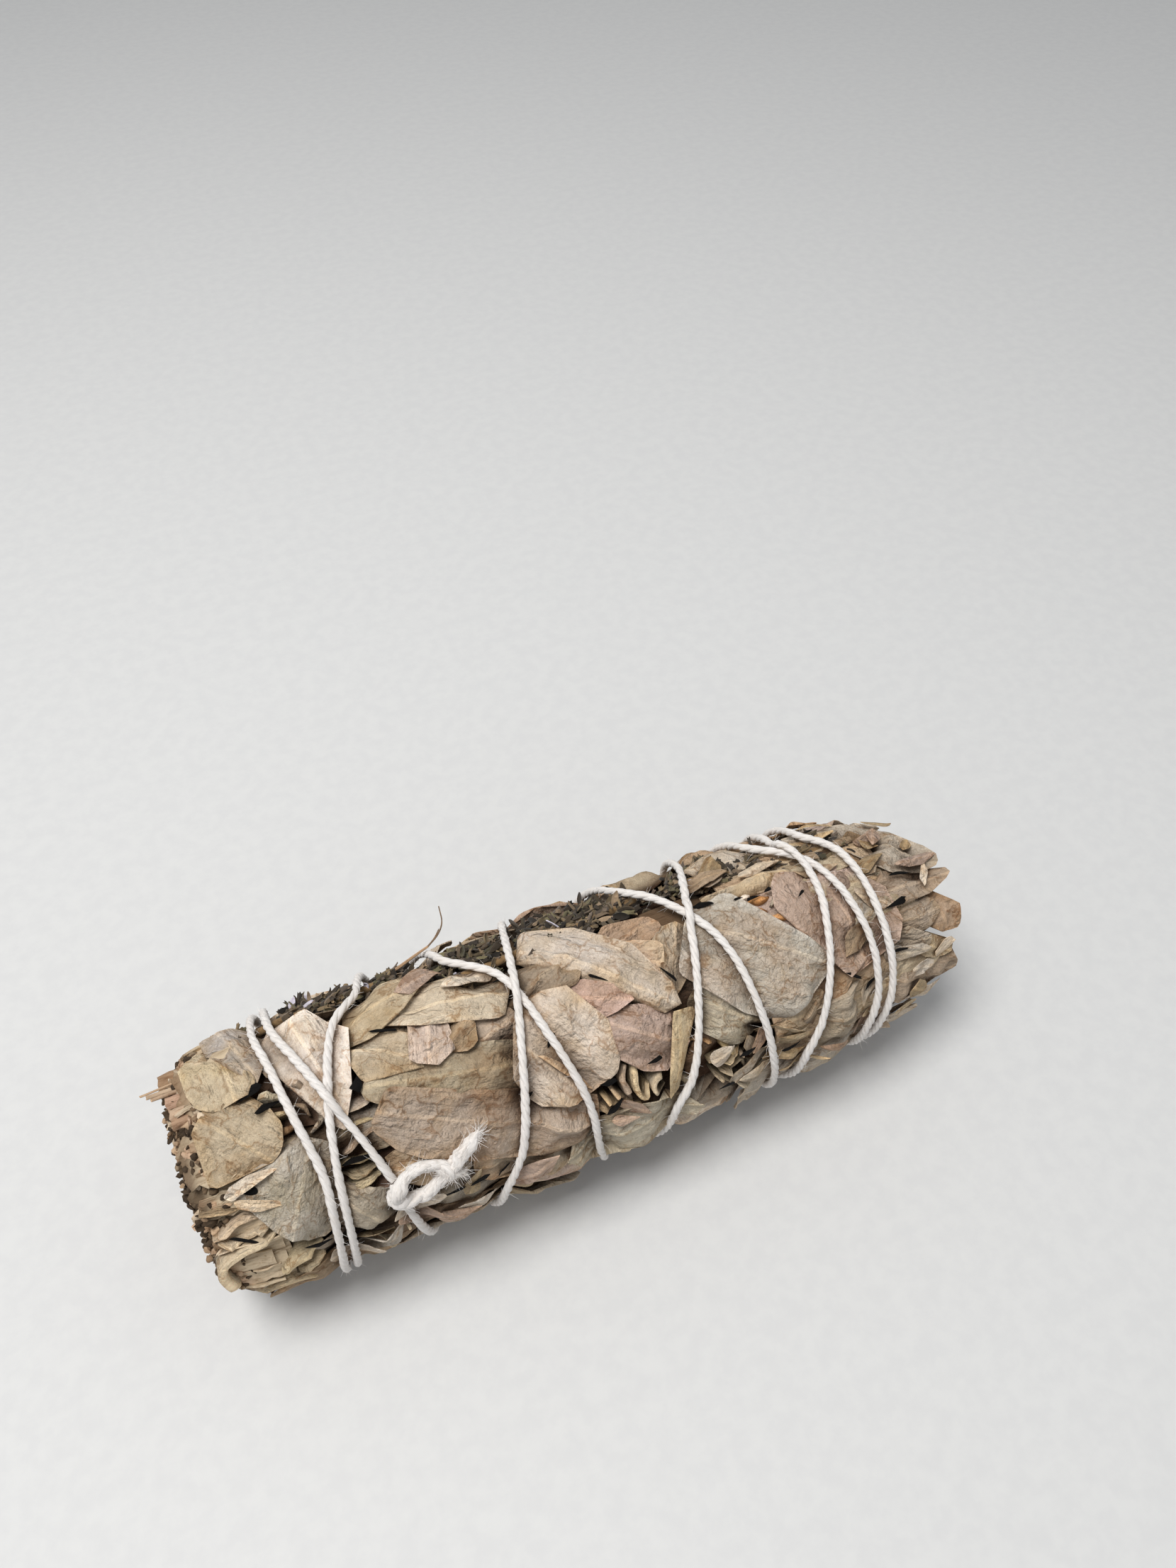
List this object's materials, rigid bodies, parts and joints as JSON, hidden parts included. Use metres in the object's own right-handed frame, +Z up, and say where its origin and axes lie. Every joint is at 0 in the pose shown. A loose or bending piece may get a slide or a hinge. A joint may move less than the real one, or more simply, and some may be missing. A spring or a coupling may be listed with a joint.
{
  "type": "herbal smudge bundle",
  "caption": "Dried sage sprigs and flowering herb sprays tied into a tight round bundle with cotton string, lying on its side.",
  "frame": {"origin": "bottom centre of the bundle's box, on the surface that the bundle lies on", "axes": "+X from the sawn end to the leaf tips, +Z up, +Y to the far side as the picture shows it"},
  "size_m": [0.1496, 0.0512, 0.0493],
  "materials": {
    "sage": "dry velvety leaf, pale grey-green to cream, with tan and brown patches",
    "herb": "dry dark olive-brown stems and calyxes with a few pale florets",
    "cotton": "soft-spun undyed cotton, slightly fuzzy"
  },
  "bodies": {
    "root": {"sage_sprig_1": "sage", "sage_sprig_2": "sage", "sage_sprig_3": "sage", "sage_sprig_4": "sage", "sage_sprig_5": "sage", "sage_sprig_6": "sage", "sage_sprig_7": "sage", "sage_sprig_8": "sage", "herb_spray_1": "herb", "herb_spray_2": "herb", "herb_spray_3": "herb", "binding_string": "cotton"}
  },
  "joints": []
}
